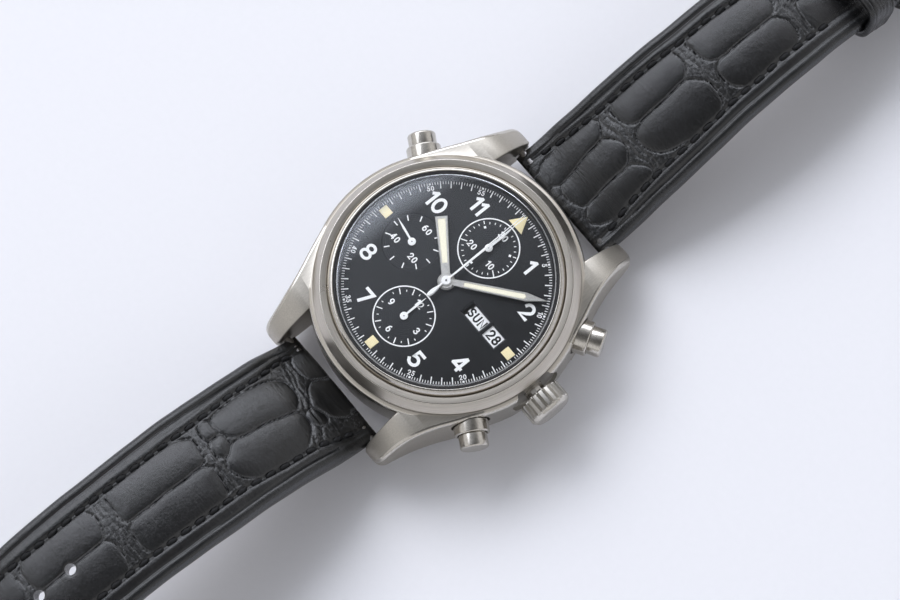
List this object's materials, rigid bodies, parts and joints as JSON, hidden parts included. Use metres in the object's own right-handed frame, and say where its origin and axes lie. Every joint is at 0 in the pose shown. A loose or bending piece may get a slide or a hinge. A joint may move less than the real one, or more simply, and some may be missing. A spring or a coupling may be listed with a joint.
{
  "type": "chronograph wristwatch",
  "caption": "Round steel wristwatch with domed crystal, split-seconds chronograph dial, crown, push-pieces, mechanical movement and padded leather strap with a pin buckle.",
  "frame": {"origin": "centre of the case back's flat outer face, which rests on the table", "axes": "+Z out through the dial, +Y towards 12 o'clock along the strap, +X towards 3 o'clock and the crown"},
  "size_m": [0.0478, 0.2417, 0.0201],
  "materials": {
    "case_steel": "fine brushed stainless steel",
    "polished_steel": "polished stainless steel",
    "movement_brass": "grained brass",
    "plated_bridges": "rhodium-plated, straight-grained",
    "gasket_rubber": "matt nitrile rubber",
    "dial_black": "matt black lacquer",
    "white_paint": "matt white enamel",
    "strap_leather": "semi-gloss black alligator-grain leather",
    "sapphire": "clear polished sapphire"
  },
  "bodies": {
    "head": {"case_middle": "case_steel", "bezel": "polished_steel", "crystal": "sapphire", "crystal_gasket": "gasket_rubber", "rehaut_ring": "dial_black", "case_back": "case_steel", "case_back_gasket": "gasket_rubber", "soft_iron_cover": "plated_bridges", "crown_tube": "case_steel", "start_pusher_tube": "polished_steel", "reset_pusher_tube": "polished_steel", "split_pusher_tube": "polished_steel", "dial": "dial_black", "movement_holder": "plated_bridges", "main_plate": "movement_brass", "train_bridge": "plated_bridges", "chronograph_bridge": "plated_bridges", "balance_cock": "plated_bridges", "balance_spring": "case_steel", "rotor_bearing": "case_steel", "spring_bar_12": "case_steel", "spring_bar_6": "case_steel"},
    "winding_clutch": {"winding_pinion": "case_steel"},
    "crown": {"crown": "polished_steel", "winding_stem": "case_steel"},
    "start_pusher": {"start_pusher": "polished_steel", "start_pusher_spring": "case_steel"},
    "reset_pusher": {"reset_pusher": "polished_steel", "reset_pusher_spring": "case_steel"},
    "split_pusher": {"split_pusher": "polished_steel", "split_pusher_spring": "case_steel"},
    "hour_hand": {"hour_hand": "polished_steel"},
    "minute_hand": {"minute_hand": "polished_steel"},
    "chrono_seconds": {"chrono_seconds_hand": "white_paint", "chrono_wheel": "movement_brass"},
    "split_seconds": {"split_seconds_hand": "white_paint", "split_wheel": "movement_brass"},
    "running_seconds": {"running_seconds_hand": "white_paint", "fourth_wheel": "movement_brass"},
    "minute_counter": {"minute_counter_hand": "white_paint"},
    "hour_counter": {"hour_counter_hand": "white_paint"},
    "date_disc": {"date_disc": "white_paint"},
    "day_disc": {"day_disc": "white_paint"},
    "third_wheel": {"third_wheel": "movement_brass"},
    "centre_wheel": {"centre_wheel": "movement_brass"},
    "barrel": {"mainspring_barrel": "movement_brass"},
    "escape_wheel": {"escape_wheel": "case_steel"},
    "pallet_fork": {"pallet_fork": "case_steel"},
    "balance": {"balance_wheel": "movement_brass"},
    "rotor": {"rotor": "plated_bridges"},
    "strap_12_root": {"strap_12_inner": "strap_leather"},
    "strap_12_end": {"strap_12_outer": "strap_leather", "fixed_keeper": "strap_leather", "buckle_bar": "case_steel"},
    "free_keeper": {"free_keeper": "strap_leather"},
    "buckle": {"buckle_frame": "polished_steel"},
    "buckle_tongue": {"buckle_tongue": "polished_steel"},
    "strap_6_root": {"strap_6_inner": "strap_leather"},
    "strap_6_end": {"strap_6_outer": "strap_leather"}
  },
  "joints": [
    {"name": "crown_turn", "type": "hinge", "parent": "head", "child": "winding_clutch", "pos_m": [0, 0, 0.0089], "axis": [1, 0, 0], "continuous": true},
    {"name": "crown_pull", "type": "slide", "parent": "winding_clutch", "child": "crown", "axis": [1, 0, 0], "range_m": [0, 0.0016]},
    {"name": "start_pusher_press", "type": "slide", "parent": "head", "child": "start_pusher", "axis": [-0.866, -0.5, 0], "range_m": [0, 0.001]},
    {"name": "reset_pusher_press", "type": "slide", "parent": "head", "child": "reset_pusher", "axis": [-0.866, 0.5, 0], "range_m": [0, 0.001]},
    {"name": "split_pusher_press", "type": "slide", "parent": "head", "child": "split_pusher", "axis": [0.866, -0.5, 0], "range_m": [0, 0.001]},
    {"name": "minute_hand_turn", "type": "hinge", "parent": "head", "child": "minute_hand", "pos_m": [0, 0, 0.0135], "axis": [0, 0, -1], "continuous": true},
    {"name": "hour_hand_turn", "type": "hinge", "parent": "head", "child": "hour_hand", "pos_m": [0, 0, 0.0133], "axis": [0, 0, -1], "continuous": true},
    {"name": "chrono_seconds_turn", "type": "hinge", "parent": "head", "child": "chrono_seconds", "pos_m": [0, 0, 0.0138], "axis": [0, 0, -1], "continuous": true},
    {"name": "minute_counter_turn", "type": "hinge", "parent": "head", "child": "minute_counter", "pos_m": [0, 0.00825, 0.0131], "axis": [0, 0, -1], "continuous": true},
    {"name": "hour_counter_turn", "type": "hinge", "parent": "head", "child": "hour_counter", "pos_m": [0, -0.00825, 0.0131], "axis": [0, 0, -1], "continuous": true},
    {"name": "split_seconds_turn", "type": "hinge", "parent": "head", "child": "split_seconds", "pos_m": [0, 0, 0.014], "axis": [0, 0, -1], "continuous": true},
    {"name": "running_seconds_turn", "type": "hinge", "parent": "head", "child": "running_seconds", "pos_m": [-0.00825, 0, 0.0131], "axis": [0, 0, -1], "continuous": true},
    {"name": "third_wheel_turn", "type": "hinge", "parent": "head", "child": "third_wheel", "pos_m": [-0.00451, 0.00296, 0.0078], "axis": [0, 0, -1], "continuous": true},
    {"name": "centre_wheel_turn", "type": "hinge", "parent": "head", "child": "centre_wheel", "pos_m": [0, 0, 0.0069], "axis": [0, 0, -1], "continuous": true},
    {"name": "barrel_turn", "type": "hinge", "parent": "head", "child": "barrel", "pos_m": [0.00616, 0.00287, 0.0088], "axis": [0, 0, -1], "continuous": true},
    {"name": "escape_wheel_turn", "type": "hinge", "parent": "head", "child": "escape_wheel", "pos_m": [-0.00978, -0.00421, 0.0082], "axis": [0, 0, -1], "continuous": true},
    {"name": "pallet_fork_swing", "type": "hinge", "parent": "head", "child": "pallet_fork", "pos_m": [-0.0073, -0.00638, 0.0082], "axis": [0, 0, -1], "range_deg": [-6, 6]},
    {"name": "balance_swing", "type": "hinge", "parent": "head", "child": "balance", "pos_m": [-0.0043, -0.009, 0.0074], "axis": [0, 0, -1], "range_deg": [-150, 150]},
    {"name": "date_disc_turn", "type": "hinge", "parent": "head", "child": "date_disc", "pos_m": [0, 0, 0.0116], "axis": [0, 0, -1], "continuous": true},
    {"name": "day_disc_turn", "type": "hinge", "parent": "head", "child": "day_disc", "pos_m": [0.002, 0, 0.0121], "axis": [0, 0, -1], "continuous": true},
    {"name": "rotor_swing", "type": "hinge", "parent": "head", "child": "rotor", "pos_m": [0, 0, 0.0028], "axis": [0, 0, 1], "continuous": true},
    {"name": "strap_12_swing", "type": "hinge", "parent": "head", "child": "strap_12_root", "pos_m": [0, 0.0233, 0.0053], "axis": [1, 0, 0], "range_deg": [-60, 45]},
    {"name": "strap_12_bend", "type": "hinge", "parent": "strap_12_root", "child": "strap_12_end", "pos_m": [0, 0.044, 0.01115], "axis": [1, 0, 0], "range_deg": [-60, 20], "stiffness_Nm_per_rad": 0.05},
    {"name": "free_keeper_slide", "type": "slide", "parent": "strap_12_end", "child": "free_keeper", "axis": [0, 0.9497, -0.3132], "range_m": [-0.004, 0.003]},
    {"name": "buckle_swing", "type": "hinge", "parent": "strap_12_end", "child": "buckle", "pos_m": [0, 0.0973, 0.0019], "axis": [1, 0, 0], "range_deg": [-70, 45]},
    {"name": "buckle_tongue_swing", "type": "hinge", "parent": "buckle", "child": "buckle_tongue", "pos_m": [0, 0.0973, 0.0019], "axis": [1, 0, 0], "range_deg": [0, 50]},
    {"name": "strap_6_swing", "type": "hinge", "parent": "head", "child": "strap_6_root", "pos_m": [0, -0.0233, 0.0053], "axis": [1, 0, 0], "range_deg": [-45, 60]},
    {"name": "strap_6_bend", "type": "hinge", "parent": "strap_6_root", "child": "strap_6_end", "pos_m": [0, -0.058, 0.01786], "axis": [1, 0, 0], "range_deg": [-20, 60], "stiffness_Nm_per_rad": 0.05}
  ],
  "couplings": [
    {"joint": "hour_hand_turn", "follows": "minute_hand_turn", "ratio": 0.083333},
    {"joint": "minute_counter_turn", "follows": "chrono_seconds_turn", "ratio": 0.033333},
    {"joint": "hour_counter_turn", "follows": "chrono_seconds_turn", "ratio": 0.0013889},
    {"joint": "third_wheel_turn", "follows": "running_seconds_turn", "ratio": -0.13333},
    {"joint": "centre_wheel_turn", "follows": "running_seconds_turn", "ratio": 0.016667},
    {"joint": "barrel_turn", "follows": "running_seconds_turn", "ratio": -0.0035714},
    {"joint": "escape_wheel_turn", "follows": "running_seconds_turn", "ratio": -12}
  ]
}
